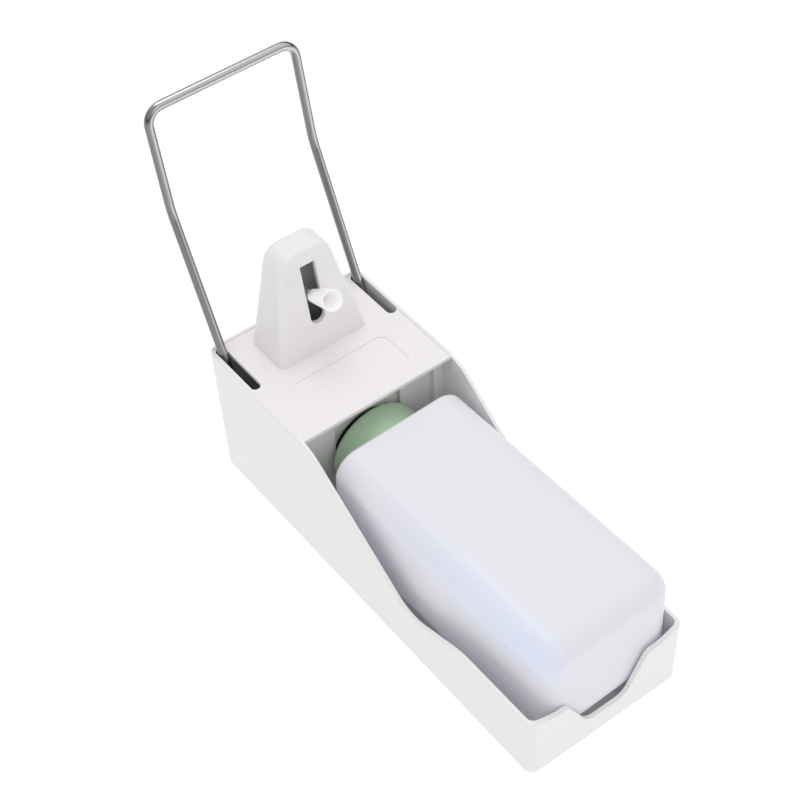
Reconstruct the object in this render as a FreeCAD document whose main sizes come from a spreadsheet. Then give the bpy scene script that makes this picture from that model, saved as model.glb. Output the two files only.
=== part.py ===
import FreeCAD, Part
import Sketcher
import os
import re
from math import cos, pi, radians, sin, tan

# Elbow-operated wall dispenser for a one-litre bottle, lying on its back. X is the width, +Y runs
# towards the dispenser's top end and +Z away from the wall. The origin is the centre of the back face.
# Every "_at" value is a distance from the housing's lower end, along Y.

SIZES = {
    # housing shell
    "case_length": 262.5, "case_width": 95.6, "case_height": 85.8, "wall": 2.2, "draft": 0.85,
    "corner_radius": 5.4, "rim_round": 0.9, "low_rim_height": 42.0, "rim_fall_at": 54.5, "dip_at": 94.6,
    "dip_height": 28.2, "shoulder_at": 173.8, "fall_radius": 40, "dip_radius": 22,
    "shoulder_radius": 30, "end_rim_height": 37.6, "end_rim_half_width": 33, "end_rim_radius": 20,
    "notch_half_width": 25.4, "notch_floor_half_width": 11.8, "notch_height": 13.6,
    "notch_top_radius": 4, "notch_floor_radius": 9, "rail_spacing": 44, "rail_width": 2.4,
    # deck, partition and the guides behind it
    "lip_at": 179, "deck_thickness": 2.1, "deck_sink": 0.6, "partition_at": 190,
    "opening_half_width": 21.3, "pilaster_depth": 3.5, "pilaster_width": 4.4, "recess_half_width": 29.6,
    "recess_at": 188.3, "recess_length": 26.1, "recess_depth": 0.5, "recess_corner": 5,
    "guide_width": 2.2, "guide_overlap": 1.6,
    # tower round the spout
    "tower_front_at": 225.4, "tower_back_at": 253.8, "tower_half_width": 27.7,
    "tower_top_front_at": 237.2, "tower_top_back_at": 253.2, "tower_top_half_width": 14.6,
    "tower_height": 146.4, "tower_edge": 3, "tower_crown": 9.5, "spout_slot_width": 9,
    "spout_slot_low": 101.5, "spout_slot_high": 138,
    # rear plate, its seat and the wall fixings
    "plate_thickness": 2.2, "frame_thickness": 4.4, "plate_half_width": 42, "hatch_half_width": 36.9,
    "hatch_end_at": 252.5, "plate_end_at": 257.5, "boss_radius": 3.4, "boss_height": 9,
    "boss_half_spacing": 38.6, "boss_inset": 5.5, "keyhole_half_spacing": 20, "keyhole_at": 238,
    "keyhole_travel": 8, "screw_head_radius": 4.75, "wall_screw_radius": 2.6, "low_hole_at": 22,
    "low_hole_spacing": 60,
    # lever
    "rod_radius": 2.5, "pivot_at": 226, "pivot_height": 15, "lever_lean": 23.1, "pivot_half_span": 40,
    "pin_end": 29, "jog_low": 48, "jog_high": 74, "lever_bend_at": 289, "lever_bend_height": 162.5,
    "lever_top_at": 299.3, "lever_top_height": 219, "jog_radius": 14, "lever_bend_radius": 45,
    "lever_corner_radius": 8.5, "pin_corner_radius": 5, "slot_start_at": 223.6, "slot_end_at": 260,
    "slot_gap": 0.4, "ear_width": 4, "ear_radius": 7, "ear_half_span": 31.5, "bush_wall": 1.5,
    "bush_flange": 0.8, "bush_flange_radius": 5.5,
    # press yoke on the lever
    "pad_radius": 3.5, "pad_at": 254.3, "pad_height": 39, "cheek_width": 3, "cheek_outer": 38.5,
    "clamp_height": 14, "clamp_depth": 13, "clamp_outer": 44, "clamp_screw_rise": 4,
    "clamp_screw_reach": 3.6,
    # pump
    "pump_height": 43.3, "slider_half_width": 32, "slider_thickness": 3.5, "washer_thickness": 1,
    "cylinder_bore": 7, "cylinder_wall": 2, "flange_radius": 15, "flange_thickness": 2.5,
    "spigot_radius": 5, "ball_chamber": 3.2, "seat_bore": 1.8, "tail_radius": 3, "tail_length": 12,
    "inlet_ball_radius": 2.5, "cage_thickness": 1, "spring_length": 16.5, "spring_wire": 1,
    "spring_turns": 4, "piston_length": 5, "ring_height": 2, "ring_depth": 1.35, "ring_gap": 0.03,
    "rod_bore": 1.3, "piston_rod_radius": 2.5, "piston_gap": 0.05, "guide_length": 3,
    "head_radius": 9.5, "head_boss_radius": 5, "head_boss_length": 2.5, "head_wall": 1.5,
    "floor_step": 0.5, "spigot_step": 0.5, "rod_bore_step": 0.5, "guide_plug": 1.5, "cage_hole": 1.5,
    "cage_hole_circle": 4, "head_start_at": 238, "head_length": 12.5, "rod_socket": 3,
    "outlet_ball_radius": 2, "outlet_chamber": 3, "pump_screw_radius": 1.5, "pump_screw_circle": 12,
    "pump_screw_head": 2.8, "pump_screw_head_height": 1.5, "drive_length": 2.6, "drive_width": 0.6,
    "drive_depth": 0.8,
    # spout and nozzle
    "spout_at": 246, "spout_radius": 3, "spout_bore": 2, "port_radius": 4.4, "port_length": 16,
    "port_depth": 6, "spout_bend_radius": 8, "nozzle_tilt": 29.1, "mouth_at": 214.7,
    "mouth_height": 128, "nozzle_length": 20, "nozzle_root": 3.6, "mouth_radius": 6, "nozzle_wall": 0.8,
    "nozzle_socket": 7,
    # bottle, cap and suction tube
    "bottle_width": 82, "bottle_top": 78, "bottle_end_at": 3.4, "bottle_shoulder_at": 166,
    "bottle_corner": 14, "bottle_end_round": 12, "bottle_shoulder_round": 3, "bottle_wall": 1.2,
    "bottle_turn": 1.3, "bottle_offset": 0.2, "neck_radius": 19, "neck_bore": 16.5, "thread_depth": 1,
    "thread_pitch": 4, "thread_width": 1.2, "cap_at": 188.6, "cap_radius": 26.8, "cap_edge": 4,
    "cap_wall": 2, "cap_hole": 9, "cap_length": 20.1, "gasket_thickness": 1, "grommet_ring": 3.4,
    "grommet_lip": 2, "grommet_lip_height": 0.8, "tube_wall": 1, "tube_end_at": 14,
    # clearances
    "gap": 0.3, "running_gap": 0.05,
}

doc = FreeCAD.newDocument("Dispenser")
sheet = doc.addObject("Spreadsheet::Sheet", "Sizes")
for row, (alias, value) in enumerate(SIZES.items(), start=1):
    sheet.set(f"A{row}", alias)
    sheet.set(f"B{row}", str(value))
    sheet.setAlias(f"B{row}", alias)
doc.recompute()
subparts = []


def linked(expression):
    """The expression with each size's name pointing at the sheet."""
    def link(match):
        return "Sizes." + match.group() if match.group() in SIZES else match.group()
    return re.sub(r"[a-z][a-z_]+", link, str(expression))


def number(expression):
    return float(sheet.evalExpression(linked(expression)))


def bind(thing, prop, expression):
    thing.setExpression(prop, linked(expression))


def place(thing, x="0", y="-case_length / 2", z="0"):
    for axis, expression in zip("xyz", (x, y, z)):
        bind(thing, "Placement.Base." + axis, expression)


def new_body(name, **position):
    body = doc.addObject("PartDesign::Body", name)
    body.Label = name
    place(body, **position)
    subparts.append(body)
    return body


def new_sketch(body, plane, offset="0"):
    sketch = body.newObject("Sketcher::SketchObject", body.Name + "_sketch")
    support = [item for item in body.Origin.OriginFeatures if item.Role == plane + "_Plane"]
    sketch.AttachmentSupport = [(support[0], "")]
    sketch.MapMode = "FlatFace"
    bind(sketch, "AttachmentOffset.Base.z", offset)
    return sketch


def hold(sketch, kind, geometry, point, expression):
    """Ties a point's distance from the sketch's origin to a size."""
    index = sketch.addConstraint(Sketcher.Constraint(kind, -1, 1, geometry, point, number(expression)))
    bind(sketch, f"Constraints[{index}]", expression)


def outline(body, plane, points, offset="0"):
    """A closed outline whose corners are tied to sizes."""
    sketch = new_sketch(body, plane, offset)
    corners = [FreeCAD.Vector(number(x), number(y), 0) for x, y in points]
    for start, end in zip(corners, corners[1:] + corners[:1]):
        sketch.addGeometry(Part.LineSegment(start, end))
    count = len(points)
    for index in range(count):
        sketch.addConstraint(Sketcher.Constraint("Coincident", index, 2, (index + 1) % count, 1))
    for index, (x, y) in enumerate(points):
        hold(sketch, "DistanceX", index, 1, x)
        hold(sketch, "DistanceY", index, 1, y)
    return sketch


def rectangle(body, plane, low, high, offset="0"):
    return outline(body, plane, [low, (high[0], low[1]), high, (low[0], high[1])], offset)


def circles(body, plane, centres, radius, offset="0"):
    sketch = new_sketch(body, plane, offset)
    for index, (x, y) in enumerate(centres):
        centre = FreeCAD.Vector(number(x), number(y), 0)
        sketch.addGeometry(Part.Circle(centre, FreeCAD.Vector(0, 0, 1), number(radius)))
        hold(sketch, "DistanceX", index, 3, x)
        hold(sketch, "DistanceY", index, 3, y)
        size = sketch.addConstraint(Sketcher.Constraint("Radius", index, number(radius)))
        bind(sketch, f"Constraints[{size}]", radius)
    return sketch


def stadium(body, plane, start, end, radius, offset="0"):
    """A slot along the sketch's own Y axis, from one end's centre to the other's."""
    sketch = new_sketch(body, plane, offset)
    x, low, high = number(start[0]), number(start[1]), number(end[1])
    size = number(radius)
    up = FreeCAD.Vector(0, 0, 1)
    bottom = Part.Circle(FreeCAD.Vector(x, low, 0), up, size)
    top = Part.Circle(FreeCAD.Vector(x, high, 0), up, size)
    sketch.addGeometry(Part.ArcOfCircle(bottom, pi, 2 * pi))
    sketch.addGeometry(Part.LineSegment(FreeCAD.Vector(x + size, low, 0), FreeCAD.Vector(x + size, high, 0)))
    sketch.addGeometry(Part.ArcOfCircle(top, 0, pi))
    sketch.addGeometry(Part.LineSegment(FreeCAD.Vector(x - size, high, 0), FreeCAD.Vector(x - size, low, 0)))
    for first, first_end, second, second_end in ((0, 2, 1, 1), (1, 2, 2, 1), (2, 2, 3, 1), (3, 2, 0, 1)):
        sketch.addConstraint(Sketcher.Constraint("Tangent", first, first_end, second, second_end))
    hold(sketch, "DistanceX", 0, 3, start[0])
    hold(sketch, "DistanceY", 0, 3, start[1])
    hold(sketch, "DistanceX", 2, 3, end[0])
    hold(sketch, "DistanceY", 2, 3, end[1])
    index = sketch.addConstraint(Sketcher.Constraint("Radius", 0, size))
    bind(sketch, f"Constraints[{index}]", radius)
    return sketch


def volume(body):
    return body.Shape.Volume if body.Tip else 0


def settle(body, feature, before, change=None):
    """Recomputes, and stops if the feature failed or changed the body's volume the wrong way."""
    doc.recompute()
    if "Invalid" in feature.State or feature.Shape.isNull():
        raise RuntimeError(f"{body.Label}: {feature.Name} failed")
    if change and (volume(body) - before) * change < 0.01:
        raise RuntimeError(f"{body.Label}: {feature.Name} changed nothing")
    return feature


def prism(body, kind, sketch, length, taper, middle, back):
    feature = body.newObject("PartDesign::" + kind, f"{body.Name}_{kind.lower()}")
    feature.Profile = sketch
    feature.Reversed = back
    feature.Midplane = middle
    bind(feature, "Length", length)
    if taper:
        bind(feature, "TaperAngle", taper)
    return feature


def pad(body, sketch, length, taper=None, middle=False, back=False):
    before = volume(body)
    return settle(body, prism(body, "Pad", sketch, length, taper, middle, back), before, 1)


def pocket(body, sketch, length, middle=False, back=False):
    before = volume(body)
    return settle(body, prism(body, "Pocket", sketch, length, None, middle, back), before, -1)


def loft(body, kind, low, high):
    before = volume(body)
    feature = body.newObject("PartDesign::" + kind, body.Name + "_loft")
    feature.Profile = low
    feature.Sections = [high]
    return settle(body, feature, before, 1 if kind == "AdditiveLoft" else -1)


def turn(body, points, kind="Revolution"):
    """A solid of revolution about Y, or a groove, from (radius, distance along Y) corners."""
    before = volume(body)
    sketch = outline(body, "XY", points)
    feature = body.newObject("PartDesign::" + kind, body.Name + "_turn")
    feature.Profile = sketch
    feature.ReferenceAxis = (sketch, ["V_Axis"])
    feature.Angle = 360
    return settle(body, feature, before, 1 if kind == "Revolution" else -1)


def fillet(body, radius, chosen):
    """Rounds the edges for which chosen(edge) is true."""
    base = body.Tip
    edges = [f"Edge{index}" for index, edge in enumerate(base.Shape.Edges, start=1) if chosen(edge)]
    if not edges:
        raise RuntimeError(f"{body.Label}: no edges to round")
    feature = body.newObject("PartDesign::Fillet", body.Name + "_fillet")
    feature.Base = (base, edges)
    bind(feature, "Radius", radius)
    return settle(body, feature, 0)


def mirrored(expression):
    return f"-({expression})"


def at_depth(edge, depth):
    """True for an edge in the plane at a distance along Y."""
    return abs(edge.BoundBox.YMin - depth) < 0.01 and edge.BoundBox.YLength < 0.01


def runs_along(edge, axis):
    """True for a straight edge that is nearly parallel to an axis."""
    if len(edge.Vertexes) != 2:
        return False
    step = edge.Vertexes[1].Point - edge.Vertexes[0].Point
    return abs(getattr(step, axis)) > 0.9 * step.Length


def round_rod(points, radius, bends):
    """A bent rod or tube: straight runs joined by tangent arcs, with one bend radius for each corner."""
    edges = []
    start = points[0]
    for corner, following, bend in zip(points[1:], points[2:], bends):
        before = (corner - start).normalize()
        after = (following - corner).normalize()
        half_turn = before.getAngle(after) / 2
        setback = bend * tan(half_turn)
        arc_start = corner - before * setback
        arc_end = corner + after * setback
        middle = corner + (after - before).normalize() * (bend / cos(half_turn) - bend)
        edges.append(Part.LineSegment(start, arc_start).toShape())
        edges.append(Part.Arc(arc_start, middle, arc_end).toShape())
        start = arc_end
    edges.append(Part.LineSegment(start, points[-1]).toShape())
    direction = points[1] - points[0]
    section = Part.Wire([Part.makeCircle(radius, points[0], direction)])
    return Part.Wire(edges).makePipeShell([section], True, True)


def add_shape(name, shape, **position):
    """A piece whose shape is built directly, in the housing's own lengthwise measure."""
    piece = doc.addObject("Part::Feature", name)
    piece.Label = name
    piece.Shape = shape
    place(piece, **position)
    subparts.append(piece)
    return piece


# Housing: one thin moulding with slightly drafted walls, open at the front over the bottle.
case_half_width = "case_width / 2"
slope = "tan(draft * 1 deg)"
housing = new_body("housing")
base = rectangle(housing, "XY", (mirrored(case_half_width), "0"), (case_half_width, "case_length"))
pad(housing, base, "case_height", taper="draft")
fillet(housing, "corner_radius", lambda edge: runs_along(edge, "z"))

# The side walls' rim falls in a straight slope from the deck to the low end.
rim_line = [("-5", "low_rim_height"), ("rim_fall_at", "low_rim_height"), ("dip_at", "dip_height"),
            ("shoulder_at", "case_height"), ("shoulder_at", "case_height + 2"), ("-5", "case_height + 2")]
rim_cut = outline(housing, "YZ", rim_line)
pocket(housing, rim_cut, "2 * case_width", middle=True)
for corner_at, bend in (("rim_fall_at", "fall_radius"), ("dip_at", "dip_radius"),
                        ("shoulder_at", "shoulder_radius")):
    place_y = number(corner_at)
    fillet(housing, bend, lambda edge: runs_along(edge, "x") and abs(edge.CenterOfMass.y - place_y) < 0.01)

def on_outer_rim(edge):
    """True for an edge round the top of the drafted outside faces."""
    half_width, start, end = number(case_half_width) - 0.01, -0.01, number("case_length") + 0.01
    box = edge.BoundBox
    outside = (abs(edge.CenterOfMass.x) > half_width) or box.YMax < start + 0.02 or box.YMin > end - 0.02
    return outside and box.ZMin > number("dip_height") - 1


fillet(housing, "rim_round", on_outer_rim)

# The deck lies just under the rim, and the tower stands on it.
tower_base = rectangle(housing, "XY", ("-tower_half_width", "tower_front_at"),
                       ("tower_half_width", "tower_back_at"), "case_height - deck_sink - 1")
tower_top = rectangle(housing, "XY", ("-tower_top_half_width", "tower_top_front_at"),
                      ("tower_top_half_width", "tower_top_back_at"), "tower_height")
deck_level = "case_height - deck_sink"
inner_half_width = f"case_width / 2 + case_height * {slope} - wall"
deck_cut = rectangle(housing, "XY", (mirrored(inner_half_width), "lip_at - 1"),
                     (inner_half_width, f"case_length + case_height * {slope} - wall"), deck_level)
pocket(housing, deck_cut, "deck_sink + 1", back=True)
loft(housing, "AdditiveLoft", tower_base, tower_top)
fillet(housing, "tower_crown", lambda edge: runs_along(edge, "y")
       and abs(edge.CenterOfMass.z - number("tower_height")) < 0.01)
fillet(housing, "tower_edge", lambda edge: edge.CenterOfMass.z > number("case_height") + 1
       and (runs_along(edge, "x") or runs_along(edge, "z")))

# Hollows: the bay for the bottle, the space under the deck's lip, and the head behind the partition.
def hollow(start, end, low, high, end_slope="0"):
    """Cuts a room between two distances along Y, keeping the side walls' thickness all the way up."""
    sketches = []
    for level in (low, high):
        half_width = f"case_width / 2 + ({level}) * {slope} - wall"
        sketches.append(rectangle(housing, "XY", (mirrored(half_width), f"{start}"),
                                  (half_width, f"{end} + ({level}) * {end_slope}"), level))
    loft(housing, "SubtractiveLoft", *sketches)


deck_underside = f"{deck_level} - deck_thickness"
hollow("wall", "partition_at", "wall", deck_underside)
hollow("dip_at", "lip_at", "low_rim_height", "case_height + 1")
hollow("partition_at + wall", "case_length - wall", "frame_thickness", deck_underside, slope)
fillet(housing, "corner_radius - wall", lambda edge: runs_along(edge, "z")
       and abs(abs(edge.CenterOfMass.x) - number("case_width / 2 - wall")) < 2
       and edge.CenterOfMass.y < number("rim_fall_at"))

# The low end wall: its rim is lower than the sides' and dips into a wide notch for a finger.
notch_line = [("-case_width / 2", "low_rim_height + 1"),
              ("-end_rim_half_width", "end_rim_height"), ("-notch_half_width", "end_rim_height"),
              ("-notch_floor_half_width", "notch_height"), ("notch_floor_half_width", "notch_height"),
              ("notch_half_width", "end_rim_height"), ("end_rim_half_width", "end_rim_height"),
              ("case_width / 2", "low_rim_height + 1")]
notch = outline(housing, "XZ", notch_line, "2 * wall")
pocket(housing, notch, "4 * wall")


def end_wall_corner(half_width, height):
    """Picks the end wall's short edges at one corner of the notch, on both sides."""
    def chosen(edge):
        centre = edge.CenterOfMass
        return (runs_along(edge, "y") and centre.y < number("2 * wall")
                and abs(abs(centre.x) - number(half_width)) < 0.1 and abs(centre.z - number(height)) < 0.1)
    return chosen


fillet(housing, "notch_floor_radius", end_wall_corner("notch_floor_half_width", "notch_height"))
fillet(housing, "notch_top_radius", end_wall_corner("notch_half_width", "end_rim_height"))
fillet(housing, "end_rim_radius", end_wall_corner("end_rim_half_width", "end_rim_height"))

# Openings in the partition for the cap, in the deck for the lever and in the tower for the spout.
opening = outline(housing, "XZ", [("-opening_half_width", "pump_height - opening_half_width"),
                                  ("opening_half_width", "pump_height - opening_half_width"),
                                  ("opening_half_width", deck_underside),
                                  ("-opening_half_width", deck_underside)], mirrored("partition_at - 1"))
pocket(housing, opening, "wall + 2")
fillet(housing, "opening_half_width / 2", lambda edge: runs_along(edge, "y")
       and abs(edge.CenterOfMass.z - number("pump_height - opening_half_width")) < 0.01
       and abs(abs(edge.CenterOfMass.x) - number("opening_half_width")) < 0.01)
slot_radius = "rod_radius + slot_gap"
arm_span = f"(case_width / 2 + jog_high * {slope} - wall - rod_radius - gap)"
for side in (arm_span, mirrored(arm_span)):
    slot = stadium(housing, "XY", (side, f"slot_start_at + {slot_radius}"),
                   (side, f"slot_end_at - {slot_radius}"), slot_radius, "case_height + 1")
    pocket(housing, slot, "deck_sink + deck_thickness + 2")
tower_slope = "(tower_half_width - tower_top_half_width) / (tower_height - case_height + deck_sink + 1)"
inside_low = rectangle(housing, "XY", ("-tower_half_width + wall", "tower_front_at + wall"),
                       ("tower_half_width - wall", "tower_back_at - wall"), f"{deck_underside} - 1")
inside_high = rectangle(housing, "XY", ("-tower_top_half_width + 1.2 * wall", "tower_top_front_at + wall"),
                        ("tower_top_half_width - 1.2 * wall", "tower_top_back_at - wall"),
                        "tower_height - wall")
loft(housing, "SubtractiveLoft", inside_low, inside_high)
fillet(housing, "tower_crown - wall", lambda edge: runs_along(edge, "y")
       and abs(edge.CenterOfMass.z - number("tower_height - wall")) < 0.01)
spout_slot = rectangle(housing, "XZ", ("-spout_slot_width / 2", "spout_slot_low"),
                       ("spout_slot_width / 2", "spout_slot_high"), mirrored("tower_front_at - 2"))
pocket(housing, spout_slot, "tower_top_front_at - tower_front_at + wall + 4")
fillet(housing, "spout_slot_width / 2 - 0.05", lambda edge: runs_along(edge, "y")
       and abs(edge.CenterOfMass.z - number("spout_slot_low")) < 0.01
       and abs(abs(edge.CenterOfMass.x) - number("spout_slot_width / 2")) < 0.01)

# A shallow bare recess in the deck, and ribs: two rails under the bottle, two pilasters beside the cap.
recess = rectangle(housing, "XY", ("-recess_half_width", "recess_at"),
                   ("recess_half_width", "recess_at + recess_length"), f"{deck_level} - recess_depth")
pocket(housing, recess, "recess_depth + 1", back=True)
fillet(housing, "recess_corner", lambda edge: runs_along(edge, "z") and edge.Length < number("recess_depth") + 0.01
       and abs(abs(edge.CenterOfMass.x) - number("recess_half_width")) < 0.01)
bottle_depth = "2 * (bottle_top - pump_height)"
bottle_back = f"bottle_top - {bottle_depth}"
for side in ("1", "-1"):
    rail = rectangle(housing, "XY", (f"{side} * rail_spacing / 2 - rail_width / 2", "wall / 2"),
                     (f"{side} * rail_spacing / 2 + rail_width / 2", "partition_at + wall / 2"), "wall / 2")
    pad(housing, rail, f"{bottle_back} - wall / 2")
    inner = f"{side} * (case_width / 2 - wall / 2)"
    pilaster = rectangle(housing, "XY", (inner, "partition_at - pilaster_depth"),
                         (f"{side} * (case_width / 2 - wall - pilaster_width)", "partition_at + wall / 2"),
                         "wall / 2")
    pad(housing, pilaster, f"{deck_underside}")

# Behind the partition: two guides for the pump's slider, with lips that overlap its edges.
guide_start = "partition_at + wall"
for side in ("1", "-1"):
    groove = "slider_half_width + gap"
    lip_start = f"{guide_start} + slider_thickness + 2 * gap"
    guide = outline(housing, "XY", [(f"{side} * ({groove})", f"{guide_start} - wall / 2"),
                                    (f"{side} * ({groove} + guide_width)", f"{guide_start} - wall / 2"),
                                    (f"{side} * ({groove} + guide_width)", f"{lip_start} + guide_width"),
                                    (f"{side} * ({groove} - guide_overlap)", f"{lip_start} + guide_width"),
                                    (f"{side} * ({groove} - guide_overlap)", lip_start),
                                    (f"{side} * ({groove})", lip_start)], "boss_height + 3")
    pad(housing, guide, f"{deck_underside} - boss_height - 2")

# The back under the head: a seat for the rear plate, a hatch through it and four screw bosses.
seat = rectangle(housing, "XY", ("-plate_half_width - gap", guide_start),
                 ("plate_half_width + gap", "plate_end_at + gap"), "plate_thickness")
pocket(housing, seat, "plate_thickness + 1")
hatch = rectangle(housing, "XY", ("-hatch_half_width", guide_start),
                  ("hatch_half_width", "hatch_end_at"), "frame_thickness + 0.5")
pocket(housing, hatch, "frame_thickness + 1")
boss_ats = (f"{guide_start} + boss_inset + gap", "plate_end_at - boss_inset")
boss_centres = [(f"{side} * boss_half_spacing", at) for side in (1, -1) for at in boss_ats]
bosses = circles(housing, "XY", boss_centres, "boss_radius", "plate_thickness")
pad(housing, bosses, "boss_height - plate_thickness")
boss_holes = circles(housing, "XY", boss_centres, "pump_screw_radius + running_gap", "boss_height - 1")
pocket(housing, boss_holes, "boss_height + 1")
low_holes = circles(housing, "XY", [(f"{side} * low_hole_spacing / 2", "low_hole_at") for side in (1, -1)],
                    "wall_screw_radius", "wall + 1")
pocket(housing, low_holes, "wall + 2")

# Rear plate: closes the hatch, hangs on two wall screws and carries the lever's bearings.
plate = new_body("rear_plate")
pad(plate, rectangle(plate, "XY", ("-plate_half_width", f"{guide_start} + gap"),
                     ("plate_half_width", "plate_end_at")), "plate_thickness")
bush_radius = "rod_radius + running_gap + bush_wall"
for side, back in (("1", False), ("-1", True)):
    inner_face = f"{side} * (ear_half_span - ear_width / 2)"
    ear = rectangle(plate, "YZ", ("pivot_at - ear_radius", "plate_thickness / 2"),
                    ("pivot_at + ear_radius", "pivot_height"), inner_face)
    pad(plate, ear, "ear_width", back=back)
    ear_top = circles(plate, "YZ", [("pivot_at", "pivot_height")], "ear_radius", inner_face)
    pad(plate, ear_top, "ear_width", back=back)
    bearing = circles(plate, "YZ", [("pivot_at", "pivot_height")], bush_radius, inner_face)
    pocket(plate, bearing, "ear_width", back=not back)
    entry = circles(plate, "XY", [(f"{side} * keyhole_half_spacing", "keyhole_at")], "screw_head_radius",
                    "plate_thickness + 1")
    pocket(plate, entry, "plate_thickness + 2")
    hanger = stadium(plate, "XY", (f"{side} * keyhole_half_spacing", "keyhole_at"),
                     (f"{side} * keyhole_half_spacing", "keyhole_at + keyhole_travel"), "wall_screw_radius",
                     "plate_thickness + 1")
    pocket(plate, hanger, "plate_thickness + 2")
pocket(plate, circles(plate, "XY", boss_centres, "pump_screw_radius", "plate_thickness + 1"),
       "plate_thickness + 2")
screw_sink = "pump_screw_head - pump_screw_radius"
head_seats = circles(plate, "XY", boss_centres, "pump_screw_head", "-1")
pocket(plate, head_seats, f"1 + {screw_sink}", back=True)


def drive_recess(depth_at, depth):
    """A cross-shaped recess for a screwdriver, cut into a screw's head."""
    length, width = number("drive_length"), number("drive_width")
    bars = [Part.makeBox(size_x, size_y, depth, FreeCAD.Vector(-size_x / 2, -size_y / 2, depth_at))
            for size_x, size_y in ((length, width), (width, length))]
    return bars[0].fuse(bars[1])


def pan_screw(length):
    """A screw along +Z whose head rests on the plane z = 0."""
    head_height = number("pump_screw_head_height")
    head = Part.makeCylinder(number("pump_screw_head"), head_height, FreeCAD.Vector(0, 0, -head_height))
    shank = Part.makeCylinder(number("pump_screw_radius"), number(length))
    return head.fuse(shank).cut(drive_recess(-head_height, number("drive_depth"))).removeSplitter()


def flush_screw(length):
    """A screw along +Z with a flat head-and-shoulder whose face is the plane z = 0."""
    head = Part.makeCylinder(number("pump_screw_head"), number(screw_sink))
    shank = Part.makeCylinder(number("pump_screw_radius"), number(length))
    return head.fuse(shank).cut(drive_recess(0, number("drive_depth"))).removeSplitter()


def fasteners(shape, places, direction):
    """One piece holding a row of identical, separate screws that all point the same way."""
    turned = FreeCAD.Rotation(FreeCAD.Vector(0, 0, 1), direction)
    copies = []
    for x, y, z in places:
        copy = shape.copy()
        copy.Placement = FreeCAD.Placement(FreeCAD.Vector(number(x), number(y), number(z)), turned)
        copies.append(copy)
    return copies


along_x, along_y, along_z = (FreeCAD.Vector(*axis) for axis in ((1, 0, 0), (0, 1, 0), (0, 0, 1)))
add_shape("rear_plate_screws", Part.Compound(
    fasteners(flush_screw("boss_height - 1"), [(x, y, "0") for x, y in boss_centres],
              along_z)))

# Flanged bushes in the rear plate's ears, and the bent rod that turns in them.
for side, back, name in (("1", False, "lever_bush_right"), ("-1", True, "lever_bush_left")):
    bush = new_body(name)
    pivot = [("pivot_at", "pivot_height")]
    inner_face = f"{side} * (ear_half_span - ear_width / 2)"
    pad(bush, circles(bush, "YZ", pivot, bush_radius, inner_face), "ear_width + bush_flange", back=back)
    pad(bush, circles(bush, "YZ", pivot, "bush_flange_radius", f"{side} * (ear_half_span + ear_width / 2)"),
        "bush_flange", back=back)
    pocket(bush, circles(bush, "YZ", pivot, "rod_radius + running_gap", inner_face),
           "ear_width + bush_flange + 1", back=not back)

lean = "tan(lever_lean * 1 deg)"
jog_low_at = f"pivot_at + (jog_low - pivot_height) * {lean}"
jog_high_at = f"pivot_at + (jog_high - pivot_height) * {lean}"
left_arm = [("-pin_end", "pivot_at", "pivot_height"), ("-pivot_half_span", "pivot_at", "pivot_height"),
            ("-pivot_half_span", jog_low_at, "jog_low"), (mirrored(arm_span), jog_high_at, "jog_high"),
            (mirrored(arm_span), "lever_bend_at", "lever_bend_height"),
            (mirrored(arm_span), "lever_top_at", "lever_top_height")]
left_points = [FreeCAD.Vector(number(x), number(y), number(z)) for x, y, z in left_arm]
right_points = [FreeCAD.Vector(-point.x, point.y, point.z) for point in reversed(left_points)]
bends = [number(size) for size in ("pin_corner_radius", "jog_radius", "jog_radius", "lever_bend_radius",
                                   "lever_corner_radius")]
add_shape("lever_bail", round_rod(left_points + right_points, number("rod_radius"), bends + bends[::-1]))

# Press yoke: a bar behind the pump's head, clamped to both arms of the rod.
arm_at = f"pivot_at + (pad_height - pivot_height) * {lean}"
yoke = new_body("yoke_block")
pad(yoke, circles(yoke, "YZ", [("pad_at", "pad_height")], "pad_radius"), "2 * cheek_outer", middle=True)
split = "pivot_half_span - gap / 2"
for side, back in (("1", False), ("-1", True)):
    cheek = rectangle(yoke, "YZ", (arm_at, "pad_height - pad_radius"), ("pad_at", "pad_height + pad_radius"),
                      f"{side} * (cheek_outer - cheek_width)")
    pad(yoke, cheek, "cheek_width", back=back)
    block = rectangle(yoke, "YZ", (f"{arm_at} - clamp_depth / 2", "pad_height - clamp_height / 2"),
                      (f"{arm_at} + clamp_depth / 2", "pad_height + clamp_height / 2"),
                      f"{side} * (cheek_outer - cheek_width)")
    pad(yoke, block, f"{split} - cheek_outer + cheek_width", back=back)
clamp_screw_ats = [(f"{arm_at} - clamp_screw_reach", "pad_height + clamp_screw_rise"),
                   (f"{arm_at} + clamp_screw_reach", "pad_height - clamp_screw_rise")]
pocket(yoke, circles(yoke, "YZ", clamp_screw_ats, "pump_screw_radius"), "2 * pivot_half_span", middle=True)


def arm_bore(side):
    """The straight run of one arm, as a tool for the half-round grooves that grip it."""
    bore = doc.addObject("Part::Cylinder", "arm_bore")
    bore.Placement = FreeCAD.Placement(FreeCAD.Vector(0, 0, 0), FreeCAD.Rotation(along_x, -number("lever_lean")))
    bind(bore, "Placement.Rotation.Angle", "-lever_lean")
    bind(bore, "Radius", "rod_radius")
    bind(bore, "Height", "2 * pad_height")
    place(bore, x=f"{side} * pivot_half_span", y="pivot_at - case_length / 2", z="pivot_height")
    return bore


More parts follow.
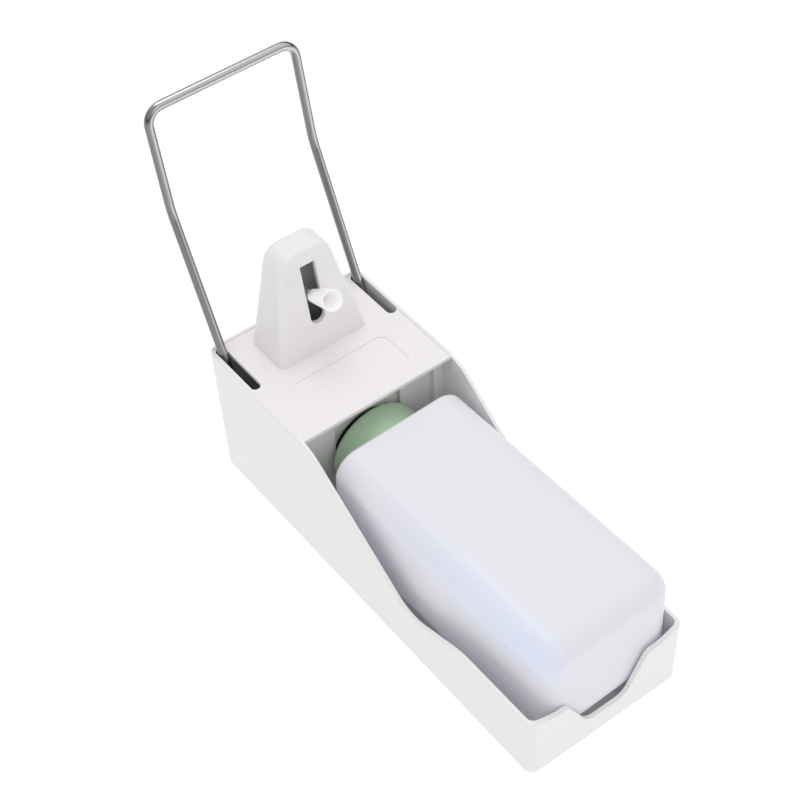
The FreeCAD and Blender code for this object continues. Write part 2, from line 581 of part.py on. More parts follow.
def cut_out(name, base_piece, tools):
    """The base piece with the tools taken away."""
    subparts.remove(base_piece)
    tool = tools[0]
    if len(tools) > 1:
        tool = doc.addObject("Part::MultiFuse", name + "_tools")
        tool.Shapes = tools
    piece = doc.addObject("Part::Cut", name)
    piece.Label = name
    piece.Base = base_piece
    piece.Tool = tool
    doc.recompute()
    if not 0 < piece.Shape.Volume < base_piece.Shape.Volume - 0.01:
        raise RuntimeError(f"{name}: nothing was cut away")
    subparts.append(piece)
    return piece


cut_out("press_yoke", yoke, [arm_bore("1"), arm_bore("-1")])
for side, back, name in (("1", False, "yoke_clamp_right"), ("-1", True, "yoke_clamp_left")):
    clamp = new_body(name + "_block")
    inner_face = f"{side} * (pivot_half_span + gap / 2)"
    block = rectangle(clamp, "YZ", (f"{arm_at} - clamp_depth / 2", "pad_height - clamp_height / 2"),
                      (f"{arm_at} + clamp_depth / 2", "pad_height + clamp_height / 2"), inner_face)
    pad(clamp, block, "clamp_outer - pivot_half_span - gap / 2", back=back)
    pocket(clamp, circles(clamp, "YZ", clamp_screw_ats, "pump_screw_radius", inner_face), "clamp_outer",
           back=not back)
    cut_out(name, clamp, [arm_bore(side)])
yoke_screws = []
for side in (1, -1):
    places = [(f"{side} * clamp_outer", y, z) for y, z in clamp_screw_ats]
    yoke_screws += fasteners(pan_screw("clamp_outer - cheek_outer + cheek_width - 1"), places,
                             along_x * -side)
add_shape("yoke_screws", Part.Compound(yoke_screws))

# Pump, on the axis of the bottle's neck. Its plate slides down the guides and is held by the rear plate.
slider = new_body("pump_slider")
slider_start = f"{guide_start} + gap"
slider_end = f"{slider_start} + slider_thickness"
flange_end = f"{slider_end} + flange_thickness"
plate_outline = rectangle(slider, "XZ", ("-slider_half_width", "plate_thickness + gap"),
                          ("slider_half_width", f"{deck_underside} - gap"), mirrored(slider_start))
pad(slider, plate_outline, "slider_thickness", back=True)
screw_offset = "pump_screw_circle * cos(45 deg)"
pump_screw_centres = [(f"{x} * {screw_offset}", f"pump_height + {z} * {screw_offset}")
                      for x in ("1", "-1") for z in ("1", "-1")]
pocket(slider, circles(slider, "XZ", [("0", "pump_height")], "spigot_radius + gap", mirrored(slider_start)),
       "slider_thickness + 1")
pocket(slider, circles(slider, "XZ", pump_screw_centres, "pump_screw_radius", mirrored(slider_start)),
       "slider_thickness + 1")

spigot_start = "partition_at + spigot_step"
floor_at = f"{flange_end} - floor_step"
splash_radius = "opening_half_width - gap"
spring_start = f"{floor_at} + cage_thickness"
piston_start = f"{spring_start} + spring_length"
piston_end = f"{piston_start} + piston_length"
barrel_end = f"{piston_end} + gap + guide_plug"


def pump_body(name):
    return new_body(name, z="pump_height")


cylinder = pump_body("pump_cylinder")
outer_radius = "cylinder_bore + cylinder_wall"
turn(cylinder, [("seat_bore", f"{spigot_start} - tail_length"), ("tail_radius", f"{spigot_start} - tail_length"),
                ("tail_radius", spigot_start), ("spigot_radius", spigot_start), ("spigot_radius", slider_end),
                ("flange_radius", slider_end), ("flange_radius", flange_end), (outer_radius, flange_end),
                (outer_radius, barrel_end), ("cylinder_bore", barrel_end), ("cylinder_bore", floor_at),
                ("ball_chamber", floor_at), ("ball_chamber", slider_start), ("seat_bore", slider_start)])
flange_holes = [(x, f"{z} * {screw_offset}") for x in (screw_offset, mirrored(screw_offset))
                for z in ("1", "-1")]
pocket(cylinder, circles(cylinder, "XZ", flange_holes, "pump_screw_radius + gap", mirrored(slider_end)),
       "flange_thickness + 0.1")
add_shape("pump_screws", Part.Compound(
    fasteners(pan_screw("flange_thickness + slider_thickness - gap"),
              [(x, flange_end, z) for x, z in pump_screw_centres], along_y * -1)))


def ball(name, radius, seat_radius, seat_at):
    """A check ball resting on the edge of its round seat."""
    sphere = doc.addObject("Part::Sphere", name)
    sphere.Label = name
    bind(sphere, "Radius", radius)
    place(sphere, y=f"{seat_at} + sqrt(({radius}) ^ 2 - ({seat_radius}) ^ 2) - case_length / 2", z="pump_height")
    subparts.append(sphere)


ball("inlet_ball", "inlet_ball_radius", "seat_bore", slider_start)
cage = pump_body("ball_cage")
turn(cage, [("0", floor_at), ("cylinder_bore - piston_gap", floor_at),
            ("cylinder_bore - piston_gap", spring_start), ("0", spring_start)])
cage_centres = [("cage_hole_circle", "0"), ("-cage_hole_circle", "0"), ("0", "cage_hole_circle"),
                ("0", "-cage_hole_circle")]
pocket(cage, circles(cage, "XZ", cage_centres, "cage_hole", mirrored(floor_at)), "cage_thickness + 1")

# Soft black washer on the plate's front, facing the bottle's cap.
washer = pump_body("splash_washer")
turn(washer, [("spigot_radius + gap", f"{slider_start} - washer_thickness"),
              (splash_radius, f"{slider_start} - washer_thickness"), (splash_radius, slider_start),
              ("spigot_radius + gap", slider_start)])

# Return spring between the cage and the piston.
wire_radius = "spring_wire / 2"
spring = pump_body("return_spring")
wire_section = circles(spring, "XY", [("cylinder_bore - spring_wire", f"{spring_start} + {wire_radius}")],
                       wire_radius)
coil = spring.newObject("PartDesign::AdditiveHelix", "return_spring_coil")
coil.Profile = wire_section
coil.ReferenceAxis = (wire_section, ["V_Axis"])
bind(coil, "Pitch", "(spring_length - spring_wire) / spring_turns")
bind(coil, "Height", "spring_length - spring_wire")
settle(spring, coil, 0, 1)

# Piston, its ring and the hollow rod that carries the soap to the head.
piston_radius = "cylinder_bore - piston_gap"
groove_radius = f"{piston_radius} - ring_depth"
groove_start = f"{piston_start} + (piston_length - ring_height) / 2"
groove_end = f"{groove_start} + ring_height"
rod_start = f"{piston_start} + rod_bore_step"
rod_end = "head_start_at + rod_socket"
piston = pump_body("piston")
turn(piston, [("rod_bore", piston_start), (piston_radius, piston_start), (piston_radius, groove_start),
              (groove_radius, groove_start), (groove_radius, groove_end), (piston_radius, groove_end),
              (piston_radius, piston_end), ("piston_rod_radius", piston_end), ("piston_rod_radius", rod_start),
              ("rod_bore", rod_start)])
ring = pump_body("piston_ring")
turn(ring, [(groove_radius, groove_start), ("cylinder_bore - ring_gap", groove_start),
            ("cylinder_bore - ring_gap", groove_end), (groove_radius, groove_end)])
rod = pump_body("piston_rod")
turn(rod, [("rod_bore", rod_start), ("piston_rod_radius", rod_start), ("piston_rod_radius", rod_end),
           ("rod_bore", rod_end)])
guide_bush = pump_body("guide_bush")
turn(guide_bush, [("piston_rod_radius + running_gap", f"{piston_end} + gap"),
                  ("cylinder_bore", f"{piston_end} + gap"), ("cylinder_bore", barrel_end),
                  (outer_radius, barrel_end), (outer_radius, f"{barrel_end} + guide_plug"),
                  ("piston_rod_radius + running_gap", f"{barrel_end} + guide_plug")])

# Pump head: pressed by the yoke, with the outlet ball's chamber and an upright port for the spout.
head = pump_body("pump_head")
head_end = "head_start_at + head_length"
chamber_end = f"{head_end} - head_wall"
turn(head, [("piston_rod_radius", "head_start_at - head_boss_length"),
            ("head_boss_radius", "head_start_at - head_boss_length"), ("head_boss_radius", "head_start_at"),
            ("head_radius", "head_start_at"), ("head_radius", head_end), ("0", head_end), ("0", chamber_end),
            ("outlet_chamber", chamber_end), ("outlet_chamber", rod_end), ("piston_rod_radius", rod_end)])
port_at = [("0", "spout_at")]
pad(head, circles(head, "XY", port_at, "port_radius", "outlet_chamber + 1"), "port_length - outlet_chamber - 1")
pocket(head, circles(head, "XY", port_at, "spout_radius", "port_length + 1"), "port_length - port_depth + 1")
pocket(head, circles(head, "XY", port_at, "spout_bore", "port_depth + 1"), "port_depth + 1")
ball("outlet_ball", "outlet_ball_radius", "rod_bore", rod_end)

# Spout: a bent tube up the tower and a flared nozzle that hangs out of the tower's slot.
tilt = radians(number("nozzle_tilt"))
spout_direction = FreeCAD.Vector(0, -cos(tilt), sin(tilt))
mouth = FreeCAD.Vector(0, number("mouth_at"), number("mouth_height"))
root = mouth - spout_direction * number("nozzle_length")
rise = (number("spout_at") - root.y) / cos(tilt)
elbow = root - spout_direction * rise
tube_points = [FreeCAD.Vector(0, number("spout_at"), number("pump_height + port_depth")), elbow,
               root + spout_direction * number("nozzle_socket")]
tube_bend = [number("spout_bend_radius")]
spout = round_rod(tube_points, number("spout_radius"), tube_bend)
add_shape("spout_tube", spout.cut(round_rod(tube_points, number("spout_bore"), tube_bend)))
nozzle = new_body("spout_nozzle", y="mouth_at - case_length / 2", z="mouth_height")
nozzle.Placement.Rotation = FreeCAD.Rotation(along_x, 180 - number("nozzle_tilt"))
bind(nozzle, "Placement.Rotation.Angle", "180 - nozzle_tilt")
turn(nozzle, [("spout_radius", "-nozzle_length"), ("nozzle_root", "-nozzle_length"), ("mouth_radius", "0"),
              ("mouth_radius - nozzle_wall", "0"), ("spout_bore", "nozzle_socket - nozzle_length"),
              ("spout_radius", "nozzle_socket - nozzle_length")])

suction = pump_body("suction_tube")
suction_radius = "tail_radius + tube_wall"
suction_end = f"{spigot_start} - gap"
turn(suction, [("tail_radius", "tube_end_at"), (suction_radius, "tube_end_at"), (suction_radius, suction_end),
               ("tail_radius", suction_end)])


# Bottle: a flat-sided block with a threaded neck, lying a little crooked on the rails.
def from_cap(piece):
    """Places a piece whose own origin is the centre of the cap's outer face."""
    place(piece, x="bottle_offset", y="cap_at - case_length / 2", z="pump_height")
    piece.Placement.Rotation = FreeCAD.Rotation(along_z, number("bottle_turn"))
    bind(piece, "Placement.Rotation.Angle", "bottle_turn")
    return piece


shoulder = "bottle_shoulder_at - cap_at"
neck_end = "-cap_wall - gasket_thickness"


def bottle_block(name, inset, neck, neck_to):
    """The bottle's outside, or its hollow when inset by the wall's thickness."""
    block = new_body(name, y="0")
    half_width = f"bottle_width / 2 - {inset}"
    half_depth = f"bottle_top - pump_height - {inset}"
    low = f"bottle_end_at - cap_at + {inset}"
    high = f"{shoulder} - {inset}"
    pad(block, rectangle(block, "XZ", (mirrored(half_width), mirrored(half_depth)), (half_width, half_depth),
                         mirrored(low)), f"{high} - ({low})", back=True)
    fillet(block, f"bottle_corner - {inset}", lambda edge: runs_along(edge, "y"))
    fillet(block, f"bottle_end_round - {inset}",
           lambda edge: all(abs(vertex.Y - number(low)) < 0.01 for vertex in edge.Vertexes))
    fillet(block, f"bottle_shoulder_round - {inset}",
           lambda edge: all(abs(vertex.Y - number(high)) < 0.01 for vertex in edge.Vertexes))
    pad(block, circles(block, "XZ", [("0", "0")], neck, mirrored(high)), f"{neck_to} - ({high})", back=True)
    return block


def rings(count, first_at, width):
    """The starts and ends of evenly spaced thread ridges, from the neck's mouth down."""
    return [(f"{first_at} - {index} * thread_pitch", f"{first_at} - {index} * thread_pitch - {width}")
            for index in range(count)]


outside = bottle_block("bottle_outside", "0", "neck_radius", neck_end)
for ring_high, ring_low in rings(3, f"{neck_end} - thread_pitch / 2", "thread_width"):
    ridge = circles(outside, "XZ", [("0", "0")], "neck_radius + thread_depth", mirrored(ring_low))
    pad(outside, ridge, "thread_width", back=True)
inside = bottle_block("bottle_inside", "bottle_wall", "neck_bore", f"{neck_end} + 1")
subparts.remove(inside)
from_cap(cut_out("bottle", outside, [inside]))

cap = from_cap(new_body("bottle_cap"))
sleeve_radius = "neck_radius + thread_depth + gap"
skirt_end = "-cap_length"
cap_top = "-cap_wall"
thread_points = [(sleeve_radius, skirt_end)]
for ring_high, ring_low in reversed(rings(2, f"{neck_end} - thread_pitch", "thread_width")):
    thread_points += [(sleeve_radius, ring_low), ("neck_radius + gap", ring_low),
                      ("neck_radius + gap", ring_high), (sleeve_radius, ring_high)]
turn(cap, [("cap_hole", "0"), ("cap_hole", cap_top), (sleeve_radius, cap_top)] + thread_points[:0:-1]
     + [(sleeve_radius, skirt_end), (f"{sleeve_radius} + cap_wall", skirt_end),
        (f"{sleeve_radius} + cap_wall", "-cap_edge"), ("cap_radius - cap_wall", "-cap_edge"),
        ("cap_radius - cap_wall", skirt_end), ("cap_radius", skirt_end), ("cap_radius", "0")])
fillet(cap, "cap_edge - gap", lambda edge: at_depth(edge, 0) and edge.BoundBox.XLength > number("cap_radius"))

gasket = from_cap(new_body("neck_gasket"))
turn(gasket, [("neck_bore", neck_end), ("neck_radius", neck_end), ("neck_radius", cap_top),
              ("neck_bore", cap_top)])
grommet = from_cap(new_body("cap_grommet"))
turn(grommet, [("cap_hole - grommet_ring", "-cap_wall - grommet_lip_height"),
               ("cap_hole + grommet_lip", "-cap_wall - grommet_lip_height"),
               ("cap_hole + grommet_lip", cap_top), ("cap_hole", cap_top), ("cap_hole", "0"),
               ("cap_hole + grommet_lip", "0"), ("cap_hole + grommet_lip", "grommet_lip_height"),
               ("cap_hole - grommet_ring", "grommet_lip_height")])

# Every feature and every piece has to be sound before anything is written.
doc.recompute()
for item in doc.Objects:
    if "Invalid" in item.State or "Error" in item.State:
        raise RuntimeError(f"{item.Label}: {item.State}")
os.makedirs("parts", exist_ok=True)
for piece in subparts:
    if piece.Shape.isNull() or not piece.Shape.isValid() or not piece.Shape.Solids:
        raise RuntimeError(f"{piece.Label}: not a sound solid")
    piece.Shape.exportStep(f"parts/{piece.Label}.step")
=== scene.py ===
import bpy
from math import cos, radians, sin
from mathutils import Matrix, Vector


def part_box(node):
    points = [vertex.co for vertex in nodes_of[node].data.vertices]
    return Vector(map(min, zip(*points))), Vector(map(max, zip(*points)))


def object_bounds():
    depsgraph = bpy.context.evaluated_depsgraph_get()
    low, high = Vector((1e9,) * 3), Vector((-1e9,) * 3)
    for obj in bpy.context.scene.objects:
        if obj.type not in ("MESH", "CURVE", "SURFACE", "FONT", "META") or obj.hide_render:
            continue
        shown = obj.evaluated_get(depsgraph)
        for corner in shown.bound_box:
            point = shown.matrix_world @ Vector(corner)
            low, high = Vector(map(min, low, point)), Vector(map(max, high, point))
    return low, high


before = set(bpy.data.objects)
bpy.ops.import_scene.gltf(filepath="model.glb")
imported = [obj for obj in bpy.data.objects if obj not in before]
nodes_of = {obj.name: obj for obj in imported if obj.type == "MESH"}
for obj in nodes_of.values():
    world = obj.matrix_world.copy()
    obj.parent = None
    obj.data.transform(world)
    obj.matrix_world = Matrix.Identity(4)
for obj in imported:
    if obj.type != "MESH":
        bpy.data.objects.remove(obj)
old_low, old_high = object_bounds()
MIX_FIRST, MIX_SECOND, MIX_COLOUR = 6, 7, 2  # a colour Mix node's two inputs and its output

# Housing and slider plate: glossy warm-white moulding. A fine uneven polish keeps its highlights from
# looking drawn.
paint = bpy.data.materials.new("housing_gloss")
paint.use_nodes = True
tree = paint.node_tree
shell = tree.nodes["Principled BSDF"]
shell.inputs["Base Color"].default_value = (0.89, 0.868, 0.862, 1)
shell.inputs["IOR"].default_value = 1.5
place = tree.nodes.new("ShaderNodeTexCoord")
cloud = tree.nodes.new("ShaderNodeTexNoise")
cloud.inputs["Scale"].default_value = 55
cloud.inputs["Detail"].default_value = 3
polish = tree.nodes.new("ShaderNodeMapRange")
polish.inputs["To Min"].default_value = 0.20
polish.inputs["To Max"].default_value = 0.31
tree.links.new(place.outputs["Object"], cloud.inputs["Vector"])
tree.links.new(cloud.outputs["Fac"], polish.inputs["Value"])
tree.links.new(polish.outputs["Result"], shell.inputs["Roughness"])
for name in ("housing", "pump_slider"):
    nodes_of[name].data.materials[0] = paint

# Rear plate, bushes, yoke and clamps: the same plastic left dull, with a darker, warmer tone that is
# painted shade.
dull = bpy.data.materials.new("dull_plastic_painted_shade")
dull.use_nodes = True
tree = dull.node_tree
skin = tree.nodes["Principled BSDF"]
place = tree.nodes.new("ShaderNodeTexCoord")
speckle = tree.nodes.new("ShaderNodeTexNoise")
speckle.inputs["Scale"].default_value = 160
tone = tree.nodes.new("ShaderNodeMix")
tone.data_type = "RGBA"
# Painted shade: both tones are darker and warmer than the housing's white; the noise varies them at
# random.
tone.inputs[MIX_FIRST].default_value = (0.80, 0.755, 0.735, 1)
tone.inputs[MIX_SECOND].default_value = (0.85, 0.805, 0.785, 1)
tree.links.new(place.outputs["Object"], speckle.inputs["Vector"])
tree.links.new(speckle.outputs["Fac"], tone.inputs[0])
tree.links.new(tone.outputs[MIX_COLOUR], skin.inputs["Base Color"])
skin.inputs["Roughness"].default_value = 0.5
for name in ("rear_plate", "lever_bush_left", "lever_bush_right", "press_yoke", "yoke_clamp_left",
             "yoke_clamp_right"):
    nodes_of[name].data.materials[0] = dull

# Lever: drawn stainless rod, polished. The dark and light lines along it are painted reflections in its
# base colour. They follow the direction that the surface faces and stand in for the studio the rod would
# mirror.
steel = bpy.data.materials.new("polished_rod_painted_reflections")
steel.use_nodes = True
tree = steel.node_tree
rod = tree.nodes["Principled BSDF"]
painted_reflection_direction = (0.80, 0.45, -0.40)
painted_reflection_greys = ((0.12, 0.30), (0.22, 0.62), (0.34, 0.52), (0.40, 0.11), (0.48, 0.16), (0.56, 0.50),
              (0.70, 0.62), (0.80, 0.16), (0.90, 0.36))
warm_green, warm_blue = 0.99, 0.975
rod.inputs["Metallic"].default_value = 1
facing = tree.nodes.new("ShaderNodeNewGeometry")
across = tree.nodes.new("ShaderNodeVectorMath")
across.operation = "DOT_PRODUCT"
across.inputs[1].default_value = painted_reflection_direction
spread = tree.nodes.new("ShaderNodeMapRange")
spread.inputs["From Min"].default_value = -1
# Painted reflection: a ramp of greys set by which way the surface faces, not by the lights.
painted_reflection_ramp = tree.nodes.new("ShaderNodeValToRGB")
painted_reflection_ramp.color_ramp.elements[0].color = (0.20, 0.20, 0.20, 1)
painted_reflection_ramp.color_ramp.elements[1].color = (0.22, 0.22, 0.22, 1)
for position, grey in painted_reflection_greys:
    stop = painted_reflection_ramp.color_ramp.elements.new(position)
    stop.color = (grey, grey * warm_green, grey * warm_blue, 1)
tree.links.new(facing.outputs["Normal"], across.inputs[0])
tree.links.new(across.outputs["Value"], spread.inputs["Value"])
tree.links.new(spread.outputs["Result"], painted_reflection_ramp.inputs["Fac"])
tree.links.new(painted_reflection_ramp.outputs["Color"], rod.inputs["Base Color"])
place = tree.nodes.new("ShaderNodeTexCoord")
stretch = tree.nodes.new("ShaderNodeMapping")
stretch.inputs["Scale"].default_value = (1, 1, 0.06)
streak = tree.nodes.new("ShaderNodeTexNoise")
streak.inputs["Scale"].default_value = 1400
wear = tree.nodes.new("ShaderNodeMapRange")
wear.inputs["To Min"].default_value = 0.10
wear.inputs["To Max"].default_value = 0.24
tree.links.new(place.outputs["Object"], stretch.inputs["Vector"])
tree.links.new(stretch.outputs["Vector"], streak.inputs["Vector"])
tree.links.new(streak.outputs["Fac"], wear.inputs["Value"])
tree.links.new(wear.outputs["Result"], rod.inputs["Roughness"])
nodes_of["lever_bail"].data.materials[0] = steel

# Screws, check balls and spring: plain stainless with a fine brushed unevenness.
hardware = bpy.data.materials.new("plain_steel")
hardware.use_nodes = True
tree = hardware.node_tree
metal = tree.nodes["Principled BSDF"]
metal.inputs["Metallic"].default_value = 1
metal.inputs["Base Color"].default_value = (0.52, 0.53, 0.54, 1)
place = tree.nodes.new("ShaderNodeTexCoord")
scratches = tree.nodes.new("ShaderNodeTexNoise")
scratches.inputs["Scale"].default_value = 900
grind = tree.nodes.new("ShaderNodeMapRange")
grind.inputs["To Min"].default_value = 0.25
grind.inputs["To Max"].default_value = 0.45
tree.links.new(place.outputs["Object"], scratches.inputs["Vector"])
tree.links.new(scratches.outputs["Fac"], grind.inputs["Value"])
tree.links.new(grind.outputs["Result"], metal.inputs["Roughness"])
for name in ("rear_plate_screws", "yoke_screws", "pump_screws", "inlet_ball", "outlet_ball",
             "return_spring"):
    nodes_of[name].data.materials[0] = hardware

# Seals: black rubber. The one washer that shows, behind the cap, is a little shinier; its black is
# painted shade.
# Painted shade: the visible washer is black to stand for the dark gap around the cap.
for title, names, roughness in (("washer_black_painted_shade", ("splash_washer",), 0.45),
                                ("seal_rubber", ("piston_ring", "neck_gasket", "cap_grommet"), 0.75)):
    black = bpy.data.materials.new(title)
    black.use_nodes = True
    tree = black.node_tree
    dark = tree.nodes["Principled BSDF"]
    dark.inputs["Roughness"].default_value = roughness
    place = tree.nodes.new("ShaderNodeTexCoord")
    dust = tree.nodes.new("ShaderNodeTexNoise")
    dust.inputs["Scale"].default_value = 240
    tone = tree.nodes.new("ShaderNodeMix")
    tone.data_type = "RGBA"
    tone.inputs[MIX_FIRST].default_value = (0.006, 0.006, 0.007, 1)
    tone.inputs[MIX_SECOND].default_value = (0.02, 0.02, 0.021, 1)
    tree.links.new(place.outputs["Object"], dust.inputs["Vector"])
    tree.links.new(dust.outputs["Fac"], tone.inputs[0])
    tree.links.new(tone.outputs[MIX_COLOUR], dark.inputs["Base Color"])
    for name in names:
        nodes_of[name].data.materials[0] = black

# Pump and tubes: natural plastic that lets some light through, milky in the thick places.
milky = bpy.data.materials.new("natural_plastic")
milky.use_nodes = True
tree = milky.node_tree
wax = tree.nodes["Principled BSDF"]
wax.inputs["Subsurface Weight"].default_value = 0.5
wax.inputs["Subsurface Radius"].default_value = (0.004, 0.004, 0.004)
wax.inputs["Subsurface Scale"].default_value = 1
wax.inputs["Transmission Weight"].default_value = 0.12
wax.inputs["Roughness"].default_value = 0.22
place = tree.nodes.new("ShaderNodeTexCoord")
haze = tree.nodes.new("ShaderNodeTexNoise")
haze.inputs["Scale"].default_value = 180
tone = tree.nodes.new("ShaderNodeMix")
tone.data_type = "RGBA"
tone.inputs[MIX_FIRST].default_value = (0.90, 0.905, 0.91, 1)
tone.inputs[MIX_SECOND].default_value = (0.95, 0.95, 0.95, 1)
tree.links.new(place.outputs["Object"], haze.inputs["Vector"])
tree.links.new(haze.outputs["Fac"], tone.inputs[0])
tree.links.new(tone.outputs[MIX_COLOUR], wax.inputs["Base Color"])
for name in ("pump_cylinder", "ball_cage", "piston", "piston_rod", "guide_bush", "pump_head",
             "spout_tube", "suction_tube"):
    nodes_of[name].data.materials[0] = milky

# Nozzle: whiter plastic with a soft shine. A faint glow stands for the light its thin wall lets through.
fresh = bpy.data.materials.new("nozzle_white")
fresh.use_nodes = True
tree = fresh.node_tree
lip = tree.nodes["Principled BSDF"]
lip.inputs["Roughness"].default_value = 0.25
lip.inputs["Emission Color"].default_value = (1, 0.98, 0.96, 1)
lip.inputs["Emission Strength"].default_value = 0.12
place = tree.nodes.new("ShaderNodeTexCoord")
haze = tree.nodes.new("ShaderNodeTexNoise")
haze.inputs["Scale"].default_value = 90
tone = tree.nodes.new("ShaderNodeMix")
tone.data_type = "RGBA"
tone.inputs[MIX_FIRST].default_value = (0.90, 0.89, 0.885, 1)
tone.inputs[MIX_SECOND].default_value = (0.95, 0.945, 0.94, 1)
tree.links.new(place.outputs["Object"], haze.inputs["Vector"])
tree.links.new(haze.outputs["Fac"], tone.inputs[0])
tree.links.new(tone.outputs[MIX_COLOUR], lip.inputs["Base Color"])
nodes_of["spout_nozzle"].data.materials[0] = fresh

# Bottle: blow-moulded and frosted. A bluish painted highlight runs along one long upper edge and grows
# towards the low end, and the sides have faint close ribs. A faint glow stands for the light its wall
# lets through.
frost = bpy.data.materials.new("frosted_bottle")
frost.use_nodes = True
tree = frost.node_tree
wall = tree.nodes["Principled BSDF"]
wall.inputs["Emission Color"].default_value = (0.84, 0.85, 1.0, 1)
wall.inputs["Emission Strength"].default_value = 0.09
wall.inputs["Roughness"].default_value = 0.42
bottle_low, bottle_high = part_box("bottle")
painted_highlight_starts, painted_highlight_full = 0.022, 0.006  # in from the bottle's side
fade_starts, fade_full = 0.030, 0.008  # down from its top
end_margin = 0.02
ribs_full, ribs_start, rib_strength = 0.022, 0.012, 0.10  # down from its top
place = tree.nodes.new("ShaderNodeTexCoord")
mist = tree.nodes.new("ShaderNodeTexNoise")
mist.inputs["Scale"].default_value = 16
mist.inputs["Detail"].default_value = 2
tone = tree.nodes.new("ShaderNodeMix")
tone.data_type = "RGBA"
tone.inputs[MIX_FIRST].default_value = (0.72, 0.71, 0.755, 1)
tone.inputs[MIX_SECOND].default_value = (0.75, 0.74, 0.775, 1)
split = tree.nodes.new("ShaderNodeSeparateXYZ")
sideways = tree.nodes.new("ShaderNodeMapRange")
sideways.interpolation_type = "SMOOTHSTEP"
sideways.inputs["From Min"].default_value = bottle_low.x + painted_highlight_starts
sideways.inputs["From Max"].default_value = bottle_low.x + painted_highlight_full
height = tree.nodes.new("ShaderNodeMapRange")
height.interpolation_type = "SMOOTHSTEP"
height.inputs["From Min"].default_value = bottle_high.z - fade_starts
height.inputs["From Max"].default_value = bottle_high.z - fade_full
lengthwise = tree.nodes.new("ShaderNodeMapRange")
lengthwise.interpolation_type = "SMOOTHSTEP"
lengthwise.inputs["From Min"].default_value = bottle_high.y - end_margin
lengthwise.inputs["From Max"].default_value = bottle_low.y + end_margin
corner = tree.nodes.new("ShaderNodeMath")
corner.operation = "MULTIPLY"
painted_highlight = tree.nodes.new("ShaderNodeMath")
painted_highlight.operation = "MULTIPLY"
# Painted highlight: a bluish tint on one long upper edge, strongest towards the low end.
blue_highlight = tree.nodes.new("ShaderNodeMix")
blue_highlight.data_type = "RGBA"
blue_highlight.inputs[MIX_SECOND].default_value = (0.70, 0.745, 0.89, 1)
ribs = tree.nodes.new("ShaderNodeTexWave")
ribs.bands_direction = "Y"
ribs.inputs["Scale"].default_value = 110
ribs.inputs["Distortion"].default_value = 0.4
flank = tree.nodes.new("ShaderNodeMapRange")
flank.inputs["From Min"].default_value = bottle_high.z - ribs_start
flank.inputs["From Max"].default_value = bottle_high.z - ribs_full
flank.inputs["To Max"].default_value = rib_strength
relief = tree.nodes.new("ShaderNodeBump")
relief.inputs["Distance"].default_value = 0.0004
point = place.outputs["Object"]
for start, end in ((point, mist.inputs["Vector"]), (mist.outputs["Fac"], tone.inputs[0]),
                   (point, split.inputs["Vector"]),
                   (split.outputs["X"], sideways.inputs["Value"]),
                   (split.outputs["Z"], height.inputs["Value"]),
                   (split.outputs["Y"], lengthwise.inputs["Value"]),
                   (sideways.outputs["Result"], corner.inputs[0]),
                   (height.outputs["Result"], corner.inputs[1]),
                   (corner.outputs["Value"], painted_highlight.inputs[0]),
                   (lengthwise.outputs["Result"], painted_highlight.inputs[1]),
                   (painted_highlight.outputs["Value"], blue_highlight.inputs[0]),
                   (tone.outputs[MIX_COLOUR], blue_highlight.inputs[MIX_FIRST]),
                   (blue_highlight.outputs[MIX_COLOUR], wall.inputs["Base Color"]),
                   (point, ribs.inputs["Vector"]), (ribs.outputs["Fac"], relief.inputs["Height"]),
                   (split.outputs["Z"], flank.inputs["Value"]),
                   (flank.outputs["Result"], relief.inputs["Strength"]),
                   (relief.outputs["Normal"], wall.inputs["Normal"])):
    tree.links.new(start, end)
nodes_of["bottle"].data.materials[0] = frost

# Cap: sage green, satin.
sage = bpy.data.materials.new("sage_cap")
sage.use_nodes = True
tree = sage.node_tree
lid = tree.nodes["Principled BSDF"]
lid.inputs["Subsurface Weight"].default_value = 0.15
lid.inputs["Subsurface Scale"].default_value = 0.004
place = tree.nodes.new("ShaderNodeTexCoord")
drift = tree.nodes.new("ShaderNodeTexNoise")
drift.inputs["Scale"].default_value = 90
tone = tree.nodes.new("ShaderNodeMix")
tone.data_type = "RGBA"
tone.inputs[MIX_FIRST].default_value = (0.48, 0.675, 0.465, 1)
tone.inputs[MIX_SECOND].default_value = (0.52, 0.72, 0.505, 1)
tree.links.new(place.outputs["Object"], drift.inputs["Vector"])
tree.links.new(drift.outputs["Fac"], tone.inputs[0])
tree.links.new(tone.outputs[MIX_COLOUR], lid.inputs["Base Color"])
lid.inputs["Roughness"].default_value = 0.36
nodes_of["bottle_cap"].data.materials[0] = sage

# Floor: a plain pale sheet under the dispenser's back.
floor_size, floor_gap = 6, 0.0002
bpy.ops.mesh.primitive_plane_add(size=floor_size, location=(0, 0, old_low.z - floor_gap))
floor = bpy.context.object
floor.name = "floor"
sheet = bpy.data.materials.new("pale_floor")
sheet.use_nodes = True
ground = sheet.node_tree.nodes["Principled BSDF"]
ground.inputs["Base Color"].default_value = (0.22, 0.22, 0.22, 1)
ground.inputs["Roughness"].default_value = 0.9
ground.inputs["Emission Color"].default_value = (1, 1, 1, 1)
ground.inputs["Emission Strength"].default_value = 0.86
floor.data.materials.append(sheet)

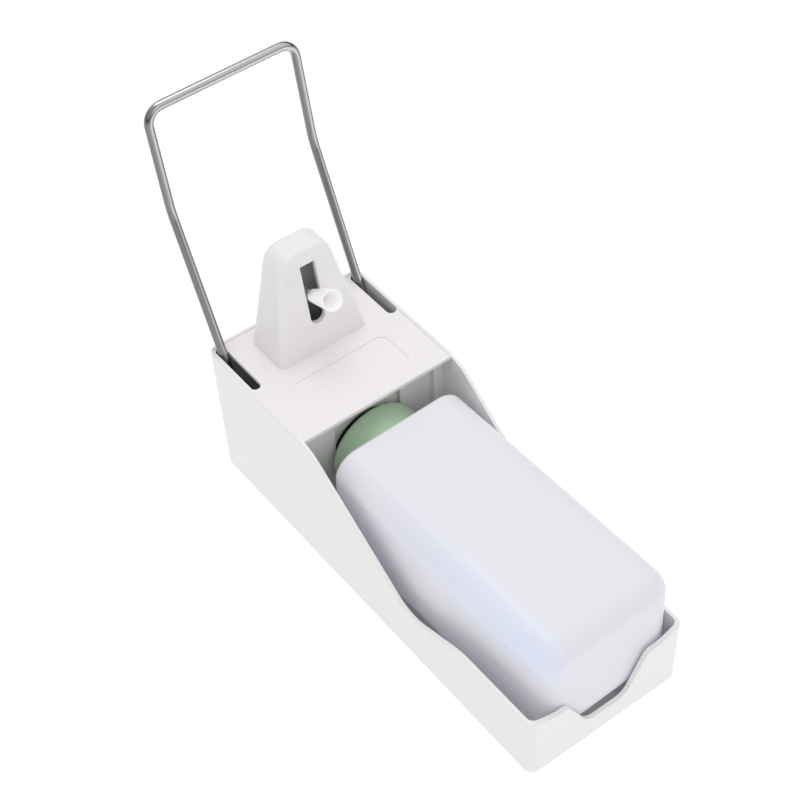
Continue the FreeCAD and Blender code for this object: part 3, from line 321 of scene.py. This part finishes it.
# Light: a white surround, brightest overhead and with a dim band above the horizon, and two broad soft
# lights, one behind and one in front, for the sheen on the tower and the deck.
world = bpy.data.worlds.new("surround")
world.use_nodes = True
tree = world.node_tree
sky = tree.nodes["Background"]
place = tree.nodes.new("ShaderNodeTexCoord")
split = tree.nodes.new("ShaderNodeSeparateXYZ")
bands = tree.nodes.new("ShaderNodeValToRGB")
bands.color_ramp.elements[0].position = 0.0
bands.color_ramp.elements[0].color = (0.80, 0.80, 0.80, 1)
bands.color_ramp.elements[1].position = 1.0
bands.color_ramp.elements[1].color = (1, 1, 1, 1)
dim_band = ((0.07, 0.60), (0.12, 0.20), (0.24, 0.28), (0.33, 0.86))
for position, grey in dim_band:
    stop = bands.color_ramp.elements.new(position)
    stop.color = (grey, grey, grey, 1)
tree.links.new(place.outputs["Generated"], split.inputs["Vector"])
tree.links.new(split.outputs["Z"], bands.inputs["Fac"])
tree.links.new(bands.outputs["Color"], sky.inputs["Color"])
sky.inputs["Strength"].default_value = 0.90
bpy.context.scene.world = world
aim = Vector((0, 0.029, 0.08))
for title, spot, width, power in (("key", (0.15, 0.55, 1.6), 0.8, 4),
                                  ("front", (-0.1, -1.1, 0.95), 0.7, 1.6)):
    lamp = bpy.data.lights.new(title, "AREA")
    lamp.shape = "SQUARE"
    lamp.size = width
    lamp.energy = power
    light = bpy.data.objects.new(title, lamp)
    bpy.context.collection.objects.link(light)
    light.location = spot
    light.rotation_mode = "QUATERNION"
    light.rotation_quaternion = (aim - light.location).to_track_quat("-Z", "Y")

# Camera: high on the left of the low end, with a slight roll.
azimuth, elevation, roll = radians(-35.21), radians(47.28), radians(-2.98)
back = Vector((sin(azimuth) * cos(elevation), -cos(azimuth) * cos(elevation), sin(elevation)))
level = Vector((cos(azimuth), sin(azimuth), 0))
upright = back.cross(level)
right = level * cos(roll) + upright * sin(roll)
up = upright * cos(roll) - level * sin(roll)
lens = bpy.data.cameras.new("camera")
lens.lens = 87.75
lens.sensor_width = 36
camera = bpy.data.objects.new("camera", lens)
bpy.context.collection.objects.link(camera)
camera.matrix_world = Matrix((right, up, back)).transposed().to_4x4()
camera.location = (-0.38063, -0.51042, 0.81471)
bpy.context.scene.camera = camera
bpy.context.scene.view_settings.view_transform = "Standard"
